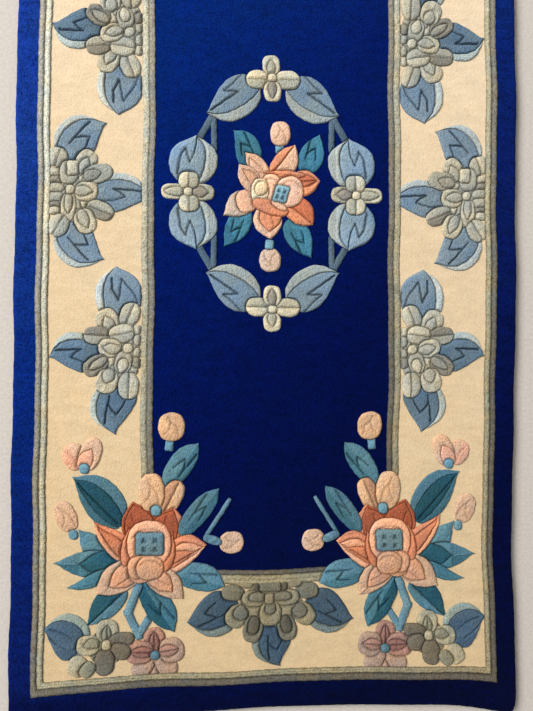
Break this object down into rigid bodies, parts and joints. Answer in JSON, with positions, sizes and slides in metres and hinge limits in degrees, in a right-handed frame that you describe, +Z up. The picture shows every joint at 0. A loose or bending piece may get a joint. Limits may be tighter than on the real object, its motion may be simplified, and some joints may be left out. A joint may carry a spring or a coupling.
{
  "type": "oriental rug",
  "caption": "Rectangular tufted wool rug lying flat, with a carved floral pile, a cream band between double lines, and a blue field and border.",
  "frame": {"origin": "under the middle of the rug, on the surface that it lies on", "axes": "+Z up out of the pile, +Y along the rug's length, +X across it"},
  "size_m": [0.7094, 1.4576, 0.0164],
  "materials": {
    "wool_pile": "dense clipped wool pile, matt with a soft sheen"
  },
  "bodies": {
    "root": {"rug": "wool_pile"}
  },
  "joints": []
}
